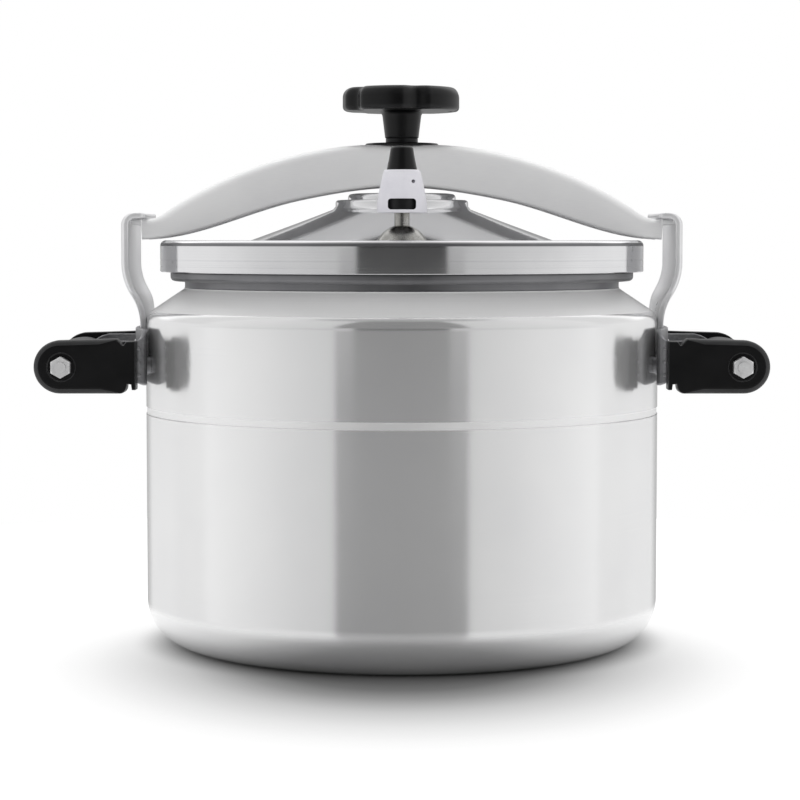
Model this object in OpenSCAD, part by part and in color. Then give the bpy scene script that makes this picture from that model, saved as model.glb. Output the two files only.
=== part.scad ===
// Screw-arch pressure canner: a deep aluminium pot whose lid is clamped by an arch, hooks and a hand knob.
// Origin at the centre of the pot's flat base, +Z up, handles and arch along X, pressure regulator towards -Y.

/* [Pot] */
// Outer diameter of the pot wall
pot_d = 280; // [270:2:300]
// Height from the base to the top of the pot's rim
pot_h = 204.5; // [190:0.5:240]
// Wall thickness of the pot
pot_wall = 3; // [2.5:0.5:4]
// Thickness of the flat base
base_t = 5; // [4:0.5:8]
// Radius between the base and the wall
corner_r = 25; // [20:1:30]
// Height of the middle of the turned ring round the wall
ring_z = 128; // [115:1:134]
// Width of the turned ring
ring_w = 4; // [2:0.5:6]

/* [Lid] */
// Sheet thickness of the lid
lid_t = 3; // [2:0.5:3.5]
// Radius of the raised boss in the middle of the lid
boss_r = 36.3; // [32:0.1:40]
// Distance of both valves from the middle of the lid
valve_y = 86; // [80:1:90]

/* [Arch and screw] */
// Width of the arch across its two flanges
arch_w = 40; // [30:1:46]
// Sheet thickness of the arch
arch_t = 3; // [2:0.5:4]
// Diameter of the spindle
screw_d = 14; // [12:1:16]
// Diameter over the lobes of the knob
knob_d = 64.6; // [56:0.2:72]
// Number of lobes on the knob
knob_lobes = 5; // [3:1:8]

/* [Hooks and handles] */
// Sheet thickness of the hooks
hook_t = 3; // [2:0.5:3.5]
// Width of a hook where the arch goes under it
hook_w = 66; // [56:2:72]
// Distance over the two arms of a handle bracket
yoke_w = 105; // [96:1:110]
// Thickness of a handle cheek
cheek_t = 10.5; // [8:0.5:13]
// Height of a handle cheek
cheek_h = 28; // [26:0.5:30]

/* [Hidden] */
$fn = 120;
eps = 0.02;

// Pot: heights and radii worked out from the driving sizes
pot_r = pot_d / 2;
shoulder_r = 10;
shoulder_z = pot_h - 28;
shoulder_end = 68;
neck_r = pot_r - 21.5;
neck_fillet = 12;
neck_z = pot_h - 4.5;
rim_r = pot_r - 13.5;
rim_t = 6.5;
rim_round = 2.4;
ring_deep = 0.4;

// Lid: its heights are counted from the top of the pot's rim
lid_r = pot_r - 8;
lid_low = pot_h - 1.5;
lid_seat = pot_h + 4.5;
lid_top = pot_h + 15.5;
lid_edge = 3;
skirt_t = 2.4;
valley_z = pot_h + 7.5;
boss_z = pot_h + 37.4;
groove_deep = 0.4;
groove_w = 0.6;
thrust_r = 29.5;
thrust_z = boss_z + 3.6;
gasket_in = neck_r + 0.5;
gasket_out = rim_r + 1;

// Regulator: its own heights on a vertical axis
nozzle_top = pot_h + 41.7;
stem_r = 3.9;
dome_z = pot_h + 23;
shank_r = 6;
weight_low = pot_h + 29.6;
weight_top = pot_h + 51.6;
cap_top = pot_h + 63.4;
pin_shoulder = nozzle_top + 4.2;

// Safety valve, on the far side of the lid
safety_r = 8;
safety_in = 6;
safety_hex = 11;
disc_r = 5.4;
disc_t = 2;
stem_out_r = 2;
coil_out = 5;
coil_in = 3.4;
safety_seat = pot_h + 18;
safety_lid = pot_h + 33.5;

// Arch: side outline, half of it on each side of X = 0
arch_top = pot_h + 67;
arch_end = pot_r + 1;
tongue_end = pot_r + 6.5;
tongue_top = pot_h + 26.8;
bush_r = 11;
bush_deep = 9.5;
flange_r = 20;
flange_t = 1.3;

// Spindle and foot
screw_r = screw_d / 2;
screw_fit = 0.06;
foot_r = 12;
foot_bore = 8;
foot_deep = 3.6;
foot_top = thrust_z + 7.5;
pin_r = 4.5;
collar_r = 8.8;
collar_z = arch_top + flange_t + 0.3;
hub_z = collar_z + 2.6;
wheel_z = pot_h + 85.8;
wheel_top = pot_h + 98.6;
wheel_edge = 1.6;
wheel_step = 2.5;
valley_r = 7;
valley_out = 3.2;
valley_turn = 74.5;
plug_r = 13;
plug_deep = 3;
hub_low_r = 9.2;
hub_high_r = 11;

// Hooks: the strip leans out from the wall by hook_out
fit = 0.03;
hook_in = pot_r + fit;
hook_out = 10;
hook_low = pot_h - 58;
hook_bend = pot_h - 30.5;
hook_lean = 34;
hook_top = pot_h + 30.2;
curl_r = 5;
lip_in = pot_r - 0.4;
waist_w = 42;
slot_r = hook_in + hook_out;

// Handles
yoke_t = 2.5;
yoke_in = hook_in + hook_t + fit;
yoke_low = pot_h - 61.5;
yoke_high = pot_h - 31.5;
arm_low = pot_h - 60;
arm_high = pot_h - 37.5;
handle_z = pot_h - 51;
bolt_x = pot_r + 39;
bolt_r = 3;
cheek_r = cheek_h / 2;
cheek_in = pot_r - 0.2;
grip_r = 12.2;
nut_af = 10;
nut_t = 5;
nut_sunk = 1.2;
yoke_y = yoke_w / 2;
cheek_y = yoke_y + cheek_t;
strap_rivet_y = 10;
outer_rivet_y = 38;
strap_rivet_up = 8;
rivet_r = 2.5;
rivet_fit = 0.05;
head_r = 5;
head_h = 2;
spacer_r = 4.5;
rib_r = 1.3;
rib_gap = 7;
rib_long = 8;
sinking_r = 7.6;

// Points on an arc about c, from angle a to angle b
function arc(c, r, a, b, n = 12) =
    [for (i = [0:n]) c + r * [cos(a + (b - a) * i / n), sin(a + (b - a) * i / n)]];

// Points on a cubic curve through p and s, pulled towards q and r
function curve(p, q, r, s, n = 16) =
    [for (i = [0:n]) let (t = i / n, u = 1 - t)
        u * u * u * p + 3 * u * u * t * q + 3 * u * t * t * r + t * t * t * s];

function reversed(list) = [for (i = [len(list) - 1:-1:0]) list[i]];
function lowered(list, d) = [for (p = list) [p[0], p[1] - d]];
function mirrored(list) = [for (i = [len(list) - 1:-1:0]) [-list[i][0], list[i][1]]];

// A short cylinder on a line that leaves the pot's axis, at the height z and the offset y from the XZ plane
module radial(y, z, from, to, r) {
    rotate([0, 0, asin(y / pot_r)])
        translate([from, 0, z])
            rotate([0, 90, 0])
                cylinder(h = to - from, r = r, $fn = 40);
}

// ---------------------------------------------------------------- pot

module pot_body() {
    color("gainsboro")
        difference() {
            rotate_extrude($fn = 240)
                polygon(concat(
                    [[0, 0], [pot_r - corner_r, 0]],
                    arc([pot_r - corner_r, corner_r], corner_r, -80, 0),
                    [[pot_r, ring_z - ring_w / 2],
                     [pot_r - ring_deep, ring_z - ring_w / 2 + ring_deep],
                     [pot_r - ring_deep, ring_z + ring_w / 2 - ring_deep],
                     [pot_r, ring_z + ring_w / 2]],
                    arc([pot_r - shoulder_r, shoulder_z], shoulder_r, 0, shoulder_end),
                    arc([neck_r + neck_fillet, neck_z], neck_fillet, 180 + shoulder_end, 190),
                    [[neck_r + 0.2, pot_h - rim_t]],
                    arc([rim_r - rim_round, pot_h - rim_t + rim_round], rim_round, -90, 0, 6),
                    arc([rim_r - rim_round, pot_h - rim_round], rim_round, 0, 90, 6),
                    [[neck_r - pot_wall, pot_h], [neck_r - pot_wall, neck_z]],
                    arc([neck_r + neck_fillet, neck_z], neck_fillet + pot_wall, 190, 180 + shoulder_end),
                    arc([pot_r - shoulder_r, shoulder_z], shoulder_r - pot_wall, shoulder_end, 0),
                    arc([pot_r - corner_r, corner_r], corner_r - pot_wall, 0, -60),
                    [[pot_r - corner_r + 2, base_t], [0, base_t]]
                ));
            for (side = [0, 180])
                rotate([0, 0, side])
                    rivet_places(pot_r - 8, pot_r + 2, rivet_r + rivet_fit);
        }
}

// Two rivets go through the hook and two more stand outside it
module rivet_places(from, to, r) {
    for (y = [-outer_rivet_y, outer_rivet_y])
        radial(y, handle_z, from, to, r);
    for (y = [-strap_rivet_y, strap_rivet_y])
        radial(y, handle_z + strap_rivet_up, from, to, r);
}

// ---------------------------------------------------------------- hooks

// Section of a hook on the XZ plane: up the wall, out in an S, up, then curled in over the arch's end
module hook_section() {
    turn = 2 * atan(hook_out / hook_lean);
    sweep_r = hook_lean / (2 * sin(turn));
    mid = hook_in + hook_t / 2;
    outer = concat(
        [[hook_in + hook_t, hook_low]],
        arc([mid + sweep_r, hook_bend], sweep_r - hook_t / 2, 180, 180 - turn),
        arc([mid + hook_out - sweep_r, hook_bend + hook_lean], sweep_r + hook_t / 2, -turn, 0),
        arc([slot_r - curl_r + hook_t / 2, hook_top - curl_r - hook_t / 2], curl_r + hook_t / 2, 0, 90)
    );
    inner = concat(
        [[hook_in, hook_low]],
        arc([mid + sweep_r, hook_bend], sweep_r + hook_t / 2, 180, 180 - turn),
        arc([mid + hook_out - sweep_r, hook_bend + hook_lean], sweep_r - hook_t / 2, -turn, 0),
        arc([slot_r - curl_r + hook_t / 2, hook_top - curl_r - hook_t / 2], curl_r - hook_t / 2, 0, 90)
    );
    lip = arc([lip_in + hook_t / 2, hook_top - hook_t / 2], hook_t / 2, 90, 270, 8);
    polygon(concat(outer, lip, reversed(inner)));
}

// Outline of a hook seen from the side: narrow against the wall and wide at the top
module hook_outline() {
    w = hook_w / 2;
    n = waist_w / 2;
    polygon(concat(
        arc([n - 10, hook_low + 10], 10, -90, 0, 8),
        curve([n, hook_bend - 4], [n, hook_bend + 8], [w, hook_bend + 6], [w, hook_bend + 20], 12),
        arc([w - 4, hook_top - 4 + eps], 4, 0, 90, 6),
        arc([-w + 4, hook_top - 4 + eps], 4, 90, 180, 6),
        curve([-w, hook_bend + 20], [-w, hook_bend + 6], [-n, hook_bend + 8], [-n, hook_bend - 4], 12),
        arc([-n + 10, hook_low + 10], 10, 180, 270, 8)
    ));
}

module hook() {
    color("silver")
        difference() {
            intersection() {
                rotate_extrude($fn = 240) hook_section();
                rotate([90, 0, 90])
                    linear_extrude(height = pot_r + 40) hook_outline();
            }
            rivet_places(pot_r - 2, pot_r + 6, rivet_r + rivet_fit);
        }
}

module hook_left() { mirror([1, 0, 0]) hook(); }
module hook_right() { hook(); }

// ---------------------------------------------------------------- handle brackets

// A saddle that follows the pot, with an arm bent out at each end to carry a cheek
module bracket() {
    color("darkgray")
        difference() {
            union() {
                intersection() {
                    rotate_extrude($fn = 240)
                        translate([yoke_in, yoke_low])
                            square([yoke_t, yoke_high - yoke_low]);
                    translate([0, -yoke_y, 0])
                        cube([pot_r + 20, yoke_w, pot_h]);
                }
                for (side = [-1, 1])
                    arm(side);
            }
            rivet_places(pot_r, pot_r + 12, rivet_r + rivet_fit);
            translate([bolt_x, 0, handle_z])
                rotate([90, 0, 0])
                    cylinder(h = yoke_w + 10, r = bolt_r + 0.3, center = true, $fn = 40);
        }
}

module arm(side) {
    mid = (arm_low + arm_high) / 2;
    root = pot_r - 4;
    half = (arm_high - arm_low) / 2;
    y = side > 0 ? yoke_y : -yoke_y + yoke_t;
    translate([0, y, 0])
        rotate([90, 0, 0])
            linear_extrude(height = yoke_t)
                polygon(concat(
                    [[root, mid - half], [bolt_x - 12, mid - half]],
                    arc([bolt_x, handle_z], 9, -60, 60),
                    [[bolt_x - 12, mid + half], [root, mid + half]]
                ));
    // Three pressed ribs stiffen the bend
    for (z = [-rib_gap, 0, rib_gap])
        translate([root + 2, side * yoke_y, mid + z])
            rotate([0, 90, 0])
                cylinder(h = rib_long, r = rib_r, $fn = 32);
}

module bracket_left() { mirror([1, 0, 0]) bracket(); }
module bracket_right() { bracket(); }

// One rivet: a domed head each side of a shank
module rivet(y, z) {
    inner = pot_r - pot_wall - 0.15;
    outer = yoke_in + yoke_t + 0.02;
    dome = (head_r * head_r + head_h * head_h) / (2 * head_h);
    edge = asin(head_r / dome);
    rotate([0, 0, asin(y / pot_r)])
        translate([0, 0, z])
            rotate([0, 90, 0])
                rotate_extrude($fn = 48)
                    polygon(concat(
                        arc([0, inner - head_h + dome], dome, -90, -90 + edge, 8),
                        [[rivet_r, inner], [rivet_r, outer]],
                        arc([0, outer + head_h - dome], dome, 90 - edge, 90, 8)
                    ));
}

module rivets() {
    color("lightgray") {
        for (y = [-outer_rivet_y, outer_rivet_y])
            rivet(y, handle_z);
        for (y = [-strap_rivet_y, strap_rivet_y])
            rivet(y, handle_z + strap_rivet_up);
    }
}

module rivets_left() { mirror([1, 0, 0]) rivets(); }
module rivets_right() { rivets(); }

// Sleeves that hold the ends of the saddle off the wall by the thickness of the hook
module spacers() {
    color("darkgray")
        for (y = [-outer_rivet_y, outer_rivet_y])
            difference() {
                radial(y, handle_z, pot_r + 0.02, yoke_in - 0.12, spacer_r);
                radial(y, handle_z, pot_r - 1, yoke_in + 1, rivet_r + rivet_fit);
            }
}

module spacers_left() { mirror([1, 0, 0]) spacers(); }
module spacers_right() { spacers(); }

// ---------------------------------------------------------------- handles

// Side of a cheek: round at the tip, with a notch above and a tab below at its inner end
module cheek_outline() {
    top = handle_z + cheek_r;
    low = handle_z - cheek_r;
    polygon(concat(
        arc([bolt_x + 0.8, handle_z], cheek_r, -90, 90, 32),
        [[cheek_in + 9.4, top + 0.9],
         [cheek_in + 6.7, top - 2.6],
         [cheek_in + 4.9, top - 0.3],
         [cheek_in, top - 0.3],
         [cheek_in, low + 1.8],
         [cheek_in + 2.3, low + 1.8],
         [cheek_in + 2.7, low + 5],
         [cheek_in + 4.9, low + 5]],
        arc([cheek_in + 8.6, low + 3.7], 3.7, 180, 270, 8)
    ));
}

// The nut sits in a shallow round sinking in the outer face
module cheek() {
    color("#1b1b1c")
        difference() {
            translate([0, -yoke_y - 0.02, 0])
                rotate([90, 0, 0])
                    linear_extrude(height = cheek_t) cheek_outline();
            translate([bolt_x, -yoke_y, handle_z])
                rotate([90, 0, 0]) {
                    translate([0, 0, -1]) cylinder(h = cheek_t + 2, r = bolt_r + 0.2, $fn = 40);
                    translate([0, 0, cheek_t - nut_sunk]) cylinder(h = 5, r = sinking_r, $fn = 48);
                }
            // Room for the ribs of the bracket
            for (z = [-rib_gap, 0, rib_gap])
                translate([cheek_in - 1, -yoke_y, (arm_low + arm_high) / 2 + z])
                    rotate([0, 90, 0])
                        cylinder(h = rib_long, r = rib_r + 0.3, $fn = 32);
        }
}

module cheek_left_front() { mirror([1, 0, 0]) cheek(); }
module cheek_left_rear() { mirror([1, 0, 0]) mirror([0, 1, 0]) cheek(); }
module cheek_right_front() { cheek(); }
module cheek_right_rear() { mirror([0, 1, 0]) cheek(); }

// Barrel-shaped grip between the two arms, bored for the tie bolt
module grip() {
    half = yoke_y - yoke_t - 0.05;
    color("#1b1b1c")
        translate([bolt_x, 0, handle_z])
            rotate([90, 0, 0])
                rotate_extrude($fn = 96)
                    polygon(concat(
                        [[bolt_r + 0.2, -half], [grip_r - 2, -half]],
                        curve([grip_r - 0.6, -half + 1.4], [grip_r + 0.8, -half / 2],
                              [grip_r + 0.8, half / 2], [grip_r - 0.6, half - 1.4], 20),
                        [[grip_r - 2, half], [bolt_r + 0.2, half]]
                    ));
}

module grip_left() { mirror([1, 0, 0]) grip(); }
module grip_right() { grip(); }

module tie_bolt() {
    color("silver")
        translate([bolt_x, 0, handle_z])
            rotate([90, 0, 0])
                cylinder(h = 2 * (cheek_y - nut_sunk + nut_t + 0.8), r = bolt_r, center = true, $fn = 48);
}

module tie_bolt_left() { mirror([1, 0, 0]) tie_bolt(); }
module tie_bolt_right() { tie_bolt(); }

module nuts() {
    color("lightgray")
        for (side = [-1, 1])
            translate([bolt_x, side * (cheek_y - nut_sunk + nut_t / 2 + 0.03), handle_z])
                rotate([90, 0, 0])
                    difference() {
                        intersection() {
                            rotate([0, 0, 30])
                                cylinder(h = nut_t, r = nut_af / sqrt(3), center = true, $fn = 6);
                            nut_chamfer();
                        }
                        cylinder(h = nut_t + 2, r = bolt_r + 0.05, center = true, $fn = 40);
                    }
}

module nut_chamfer() {
    wide = nut_af / sqrt(3);
    rotate_extrude($fn = 48)
        polygon([[0, -nut_t / 2], [wide - 0.7, -nut_t / 2], [wide + 0.1, -nut_t / 2 + 0.6],
                 [wide + 0.1, nut_t / 2 - 0.6], [wide - 0.7, nut_t / 2], [0, nut_t / 2]]);
}

module nuts_left() { mirror([1, 0, 0]) nuts(); }
module nuts_right() { nuts(); }

// ---------------------------------------------------------------- lid

// Upper surface of the lid, from the middle of the boss out to the foot of the bead
function lid_upper() = concat(
    [[0, boss_z]],
    arc([boss_r - 1.6, boss_z - 1.6], 1.6, 90, 0, 6),
    [[boss_r, boss_z - 3.4]],
    curve([boss_r + 1.2, boss_z - 5], [boss_r + 20, boss_z - 12.5],
          [lid_r - 48, valley_z + 7.6], [lid_r - 33, valley_z + 2], 20),
    curve([lid_r - 31, valley_z + 1.35], [lid_r - 28, valley_z + 0.4],
          [lid_r - 26, valley_z], [lid_r - 23, valley_z], 6)
);

module lid_section() {
    upper = lid_upper();
    polygon(concat(
        upper,
        [[lid_r - 18, valley_z]],
        arc([lid_r - 18, valley_z + 3], 3, -90, -15, 6),
        arc([lid_r - 10.4, lid_top - 2.4], 2.4, 165, 90, 6),
        arc([lid_r - lid_edge, lid_top - lid_edge], lid_edge, 90, 0, 8),
        skirt_line(lid_low + 6.2),
        skirt_line(lid_low + 2.8),
        [[lid_r, lid_low + 0.4], [lid_r - 0.4, lid_low], [lid_r - skirt_t, lid_low],
         [lid_r - skirt_t, lid_seat], [lid_r - 20, lid_seat]],
        reversed(lowered([for (p = upper) if (p[0] < lid_r - 22) p], lid_t))
    ));
}

// A fine line turned into the skirt at the height z
function skirt_line(z) = [
    [lid_r, z + groove_w], [lid_r - groove_deep, z + groove_w / 2 + 0.1],
    [lid_r - groove_deep, z + groove_w / 2 - 0.1], [lid_r, z]
];

// Everything under the lid's upper surface, and everything under its lower surface
module under_lid(drop) {
    rotate_extrude($fn = 240)
        polygon(concat(lowered(lid_upper(), drop), [[lid_r - 20, pot_h - 20], [0, pot_h - 20]]));
}

module lid_shell() {
    color("gainsboro")
        difference() {
            rotate_extrude($fn = 240) lid_section();
            for (y = [-valve_y, valve_y])
                translate([0, y, pot_h - 10])
                    cylinder(h = 60, r = shank_r + 0.1, $fn = 60);
        }
}

// Pressed plate on the boss that takes the thrust of the foot
module thrust_plate() {
    color("silver")
        translate([0, 0, boss_z + eps])
            rotate_extrude($fn = 160)
                polygon(concat(
                    [[0, 0], [thrust_r, 0]],
                    arc([thrust_r - 2.2, 1.2], 2.2, 0, 70, 8),
                    [[thrust_r - 3.4, thrust_z - boss_z - eps], [0, thrust_z - boss_z - eps]]
                ));
}

// Rubber ring between the pot's rim and the lid's channel
module gasket() {
    color("dimgray")
        rotate_extrude($fn = 240)
            polygon([[gasket_in + 1, pot_h], [gasket_out - 1, pot_h], [gasket_out, pot_h + 1],
                     [gasket_out, lid_seat - 1], [gasket_out - 1, lid_seat], [gasket_in + 1, lid_seat],
                     [gasket_in, lid_seat - 1], [gasket_in, pot_h + 1]]);
}

// ---------------------------------------------------------------- regulator

// Domed seat on the slope of the lid, a stem above it and a threaded shank below
module regulator_nozzle() {
    color("silver")
        difference() {
            translate([0, -valve_y, 0])
                union() {
                    difference() {
                        rotate_extrude($fn = 96)
                            polygon(concat(
                                [[0, dome_z - 16], [13.5, dome_z - 16], [13.5, dome_z - 8.6]],
                                curve([13.2, dome_z - 8], [11.4, dome_z - 4.6],
                                      [7.6, dome_z - 0.8], [stem_r, dome_z], 10),
                                [[stem_r, nozzle_top - 0.8], [stem_r - 0.8, nozzle_top], [0, nozzle_top]]
                            ));
                        translate([0, valve_y, 0]) under_lid(-0.02);
                    }
                    translate([0, 0, pot_h + 1])
                        cylinder(h = dome_z - pot_h - 4, r = shank_r, $fn = 60);
                }
            translate([0, -valve_y, pot_h - 5])
                cylinder(h = 60, r = 1, $fn = 40);
        }
}

// Hexagon nut under the lid, its upper face cut to the slope
module valve_nut() {
    difference() {
        intersection() {
            translate([0, 0, pot_h + 2.2])
                cylinder(h = 14, r = 10, $fn = 6);
            translate([0, valve_y, 0]) under_lid(lid_t + 0.02);
        }
        translate([0, 0, pot_h - 10])
            cylinder(h = 60, r = shank_r + 0.03, $fn = 60);
    }
}

module nozzle_nut() { color("silver") translate([0, -valve_y, 0]) valve_nut(); }

// Jet pin: its tip goes in the nozzle's jet and its shoulder rests on the nozzle
module regulator_pin() {
    color("silver")
        translate([0, -valve_y, 0])
            rotate_extrude($fn = 48)
                polygon([[0, nozzle_top - 2.6], [0.5, nozzle_top - 2.2], [0.9, nozzle_top - 1],
                         [0.9, nozzle_top], [2.4, nozzle_top], [2.4, pin_shoulder],
                         [1.5, pin_shoulder], [1.5, weight_top - 1], [0, weight_top - 1]]);
}

// Weight: a hollow skirt with two steam windows, free to spin on the jet pin
module regulator_weight() {
    color("gainsboro")
        translate([0, -valve_y, 0])
            difference() {
                rotate_extrude($fn = 120)
                    polygon(concat(
                        [[11.4, weight_low], [12.8, weight_low], [12.9, weight_low + 1.5]],
                        curve([12.8, weight_low + 4], [12.3, weight_low + 9],
                              [11, weight_low + 15], [9.6, weight_top - 1.2], 14),
                        [[8.8, weight_top], [0, weight_top], [0, pin_shoulder + 0.1],
                         [4.4, pin_shoulder + 0.1], [4.4, weight_low + 11], [11.2, weight_low + 8.6]]
                    ));
                translate([0, 0, pin_shoulder - 1])
                    cylinder(h = weight_top - pin_shoulder + 0.6, r = 1.55, $fn = 40);
                for (side = [0, 180])
                    rotate([0, 0, side])
                        steam_window();
                translate([5.8, -4, weight_low + 16])
                    rotate([90, 0, 0])
                        cylinder(h = 20, r = 0.9, $fn = 32);
            }
}

module steam_window() {
    half = 7.2;
    r = 1.6;
    translate([0, -5, weight_low + 1.6])
        rotate([90, 0, 0])
            linear_extrude(height = 12)
                polygon(concat(
                    arc([half - r, r], r, -90, 0, 5),
                    arc([half - r, 5.6 - r], r, 0, 90, 5),
                    arc([-half + r, 5.6 - r], r, 90, 180, 5),
                    arc([-half + r, r], r, 180, 270, 5)
                ));
}

// Moulded cap that keeps fingers off the hot weight
module regulator_cap() {
    color("#1d1d1e")
        translate([0, -valve_y, weight_top + 0.02])
            rotate_extrude($fn = 96)
                polygon(concat(
                    [[0, 0], [7.7, 0], [7.7, 0.8]],
                    curve([7.5, 1.6], [7, 4], [6.4, 7], [5.9, cap_top - weight_top - 1.6], 8),
                    arc([4.5, cap_top - weight_top - 1.5], 1.4, 10, 90, 6),
                    [[0, cap_top - weight_top - 0.1]]
                ));
}

// ---------------------------------------------------------------- safety valve

module safety_valve_body() {
    color("silver")
        difference() {
            union() {
                difference() {
                    translate([0, valve_y, 0])
                        union() {
                            translate([0, 0, dome_z - 16]) cylinder(h = 14, r = safety_hex, $fn = 6);
                            translate([0, 0, dome_z - 3]) cylinder(h = safety_lid - dome_z + 3, r = safety_r);
                        }
                    under_lid(-0.02);
                }
                translate([0, valve_y, pot_h + 1])
                    cylinder(h = safety_seat - pot_h - 1, r = shank_r, $fn = 60);
            }
            translate([0, valve_y, safety_seat])
                cylinder(h = safety_lid - safety_seat - 1.5, r = safety_in, $fn = 60);
            translate([0, valve_y, pot_h - 5])
                cylinder(h = 60, r = stem_out_r + 0.1, $fn = 40);
        }
}

module safety_valve_nut() {
    color("silver") mirror([0, 1, 0]) translate([0, -valve_y, 0]) valve_nut();
}

// Disc on the seat and a stem that stands out of the top when it lifts
module safety_plunger() {
    color("indianred")
        translate([0, valve_y, 0])
            rotate_extrude($fn = 60)
                polygon([[0, safety_seat], [disc_r, safety_seat], [disc_r, safety_seat + disc_t],
                         [stem_out_r, safety_seat + disc_t], [stem_out_r, safety_lid + 1.6],
                         [stem_out_r - 0.6, safety_lid + 2.2], [0, safety_lid + 2.2]]);
}

// The coil spring as the sleeve that it fills
module safety_spring() {
    color("lightgray")
        translate([0, valve_y, safety_seat + disc_t])
            difference() {
                cylinder(h = safety_lid - safety_seat - disc_t - 1.5, r = coil_out, $fn = 60);
                translate([0, 0, -1]) cylinder(h = 40, r = coil_in, $fn = 60);
            }
}

// ---------------------------------------------------------------- arch

// Upper edge of the arch from its middle to the end of the right-hand tongue
function arch_upper() = concat(
    [[0, arch_top], [22, arch_top]],
    curve([24, arch_top - 0.15], [62, arch_top - 2.6], [96, arch_top - 16.5], [120, arch_top - 31], 20),
    curve([122, arch_top - 32.2], [128, arch_top - 36], [132, tongue_top], [138, tongue_top], 8),
    [[tongue_end, tongue_top]]
);

// Lower edge of the flanges from the end of the arch back to its middle
function arch_lower() = concat(
    [[arch_end, pot_h + 15.8]],
    curve([arch_end - 6, pot_h + 16.3], [108, pot_h + 18.6], [84, pot_h + 31.6], [56, pot_h + 37.6], 20),
    curve([54, pot_h + 38], [38, pot_h + 41.4], [20, pot_h + 44.4], [0, pot_h + 44.9], 10)
);

module arch_outline() {
    half = concat(
        arch_upper(),
        [[tongue_end, tongue_top - arch_t], [arch_end, tongue_top - arch_t - 1]],
        arch_lower()
    );
    polygon(concat(half, mirrored(half)));
}

// Inside of the pressed channel, one sheet thickness below its top
module arch_hollow() {
    upper = lowered([for (p = arch_upper()) if (p[0] < 133) p], arch_t);
    half = concat(upper, [[134, tongue_top - arch_t - 6], [134, pot_h], [0, pot_h]]);
    polygon(concat(half, mirrored(half)));
}

module arch() {
    color("lightgray")
        difference() {
            translate([0, arch_w / 2, 0])
                rotate([90, 0, 0])
                    linear_extrude(height = arch_w) arch_outline();
            translate([0, arch_w / 2 - arch_t, 0])
                rotate([90, 0, 0])
                    linear_extrude(height = arch_w - 2 * arch_t) arch_hollow();
            translate([0, 0, arch_top - 20])
                cylinder(h = 30, r = bush_r + 0.05);
        }
}

// Threaded bush fixed in the web of the arch
module arch_bush() {
    color("darkkhaki")
        translate([0, 0, arch_top])
            rotate_extrude($fn = 96)
                polygon([[screw_r + screw_fit, -bush_deep], [bush_r - 1, -bush_deep], [bush_r, 1 - bush_deep],
                         [bush_r, 0.02], [flange_r, 0.02], [flange_r, flange_t - 0.6],
                         [flange_r - 0.6, flange_t], [screw_r + screw_fit, flange_t]]);
}

// ---------------------------------------------------------------- foot, spindle and knob

// Swivel foot: it stays still on the lid while the spindle turns in it
module pressure_foot() {
    color("silver")
        rotate_extrude($fn = 96)
            polygon([[foot_bore, thrust_z], [foot_r, thrust_z], [foot_r, foot_top - 2.5], [foot_r - 2.5, foot_top],
                     [pin_r + screw_fit, foot_top], [pin_r + screw_fit, thrust_z + foot_deep],
                     [foot_bore, thrust_z + foot_deep]]);
}

module spindle() {
    color("silver")
        rotate_extrude($fn = 96)
            polygon([[0, thrust_z + 0.8], [pin_r - 0.6, thrust_z + 0.8], [pin_r, thrust_z + 1.4],
                     [pin_r, thrust_z + 1.8], [pin_r - 1, thrust_z + 1.8], [pin_r - 1, thrust_z + 3],
                     [pin_r, thrust_z + 3], [pin_r, foot_top + 0.03], [screw_r - 1, foot_top + 0.03],
                     [screw_r, foot_top + 1.2], [screw_r, collar_z], [collar_r, collar_z], [collar_r, hub_z],
                     [screw_r - 1, hub_z], [screw_r - 1, wheel_top - 5], [0, wheel_top - 5]]);
}

// Spring ring in the groove at the end of the spindle, which keeps the foot on
module spindle_clip() {
    color("dimgray")
        translate([0, 0, thrust_z + 2])
            difference() {
                cylinder(h = 0.8, r = 7, $fn = 60);
                translate([0, 0, -1]) cylinder(h = 3, r = pin_r - 0.95, $fn = 48);
                translate([0, -1.6, -1]) cube([10, 3.2, 3]);
            }
}

module wheel_outline(inset) {
    lobe_r = knob_d / 2 - inset;
    difference() {
        circle(r = lobe_r);
        for (i = [0:knob_lobes - 1])
            rotate(i * 360 / knob_lobes - valley_turn)
                translate([knob_d / 2 + valley_out, 0])
                    circle(r = valley_r + inset, $fn = 60);
    }
}

// Moulded hand knob: lobed wheel over a tapered hub
module knob() {
    color("#1b1b1c")
        difference() {
            union() {
                translate([0, 0, wheel_z])
                    linear_extrude(height = wheel_top - wheel_z - wheel_step) wheel_outline(0);
                translate([0, 0, wheel_top - wheel_step])
                    linear_extrude(height = wheel_step) wheel_outline(wheel_edge);
                translate([0, 0, hub_z])
                    cylinder(h = wheel_z - hub_z + 1, r1 = hub_low_r, r2 = hub_high_r);
            }
            translate([0, 0, hub_z - 1])
                cylinder(h = wheel_top - 5 - hub_z + 1.05, r = screw_r - 0.95, $fn = 60);
            translate([0, 0, wheel_top - plug_deep])
                cylinder(h = plug_deep + 1, r = plug_r + 0.1, $fn = 80);
        }
}

// Plug that closes the top of the knob
module knob_cap() {
    color("#242425")
        rotate_extrude($fn = 80)
            polygon([[0, wheel_top - plug_deep + eps], [plug_r, wheel_top - plug_deep + eps],
                     [plug_r, wheel_top - 0.8], [plug_r - 0.8, wheel_top], [0, wheel_top]]);
}

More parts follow.
